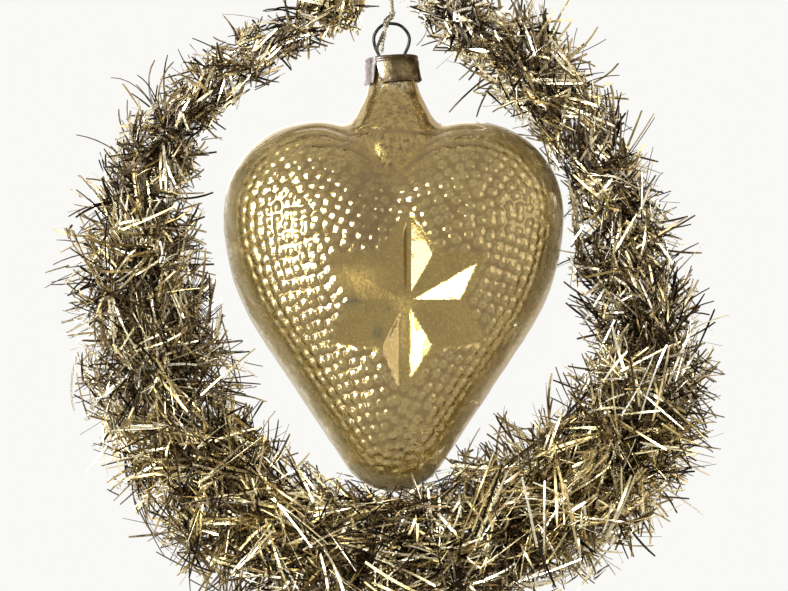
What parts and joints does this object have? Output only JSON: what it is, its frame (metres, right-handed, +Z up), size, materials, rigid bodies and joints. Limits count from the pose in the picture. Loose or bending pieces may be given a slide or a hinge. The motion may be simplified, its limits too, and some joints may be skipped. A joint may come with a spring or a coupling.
{
  "type": "glass heart ornament in a tinsel wreath",
  "caption": "Embossed silvered glass heart with a slit tin cap and ring clip, hung by a metallic thread inside a round wreath of tinsel garland.",
  "frame": {"origin": "inside top of the wire eye that the wreath hangs by", "axes": "+Z up, the wreath lies in the XZ plane, its front faces -Y, +X is to the viewer's right"},
  "size_m": [0.1192, 0.0336, 0.1348],
  "materials": {
    "silvered_glass": "gloss",
    "tin_cap": "satin",
    "clip_wire": "satin",
    "core_wire": "satin",
    "eye_wire": "satin",
    "tinsel": "gloss",
    "thread_gold": "satin",
    "thread_dark": "satin"
  },
  "bodies": {
    "wreath": {"core_wire_a": "core_wire", "core_wire_b": "core_wire", "tinsel_01": "tinsel", "tinsel_02": "tinsel", "tinsel_03": "tinsel", "tinsel_04": "tinsel", "tinsel_05": "tinsel", "tinsel_06": "tinsel", "tinsel_07": "tinsel", "tinsel_08": "tinsel", "tinsel_09": "tinsel", "tinsel_10": "tinsel", "tinsel_11": "tinsel", "tinsel_12": "tinsel", "tinsel_13": "tinsel", "tinsel_14": "tinsel", "hanging_eye": "eye_wire"},
    "thread": {"hanging_thread": "thread_gold"},
    "knot": {"thread_knot": "thread_gold", "thread_tail_gold": "thread_gold", "thread_tail_dark": "thread_dark"},
    "clip": {"wire_clip": "clip_wire"},
    "heart": {"glass_heart": "silvered_glass", "metal_cap": "tin_cap"}
  },
  "joints": [
    {"name": "thread_swing", "type": "hinge", "parent": "wreath", "child": "thread", "pos_m": [0, 0, -0.00978], "axis": [1, 0, 0], "range_deg": [-20, 20]},
    {"name": "thread_twist", "type": "hinge", "parent": "thread", "child": "knot", "pos_m": [0, 0, -0.0165], "axis": [0, 0, 1], "range_deg": [-90, 90]},
    {"name": "ring_sway", "type": "hinge", "parent": "knot", "child": "clip", "pos_m": [0, 0, -0.01867], "axis": [0, 1, 0], "range_deg": [-2, 4]},
    {"name": "cap_tilt", "type": "hinge", "parent": "clip", "child": "heart", "pos_m": [-0.0004, 0, -0.02552], "axis": [1, 0, 0], "range_deg": [-8, 8]}
  ]
}
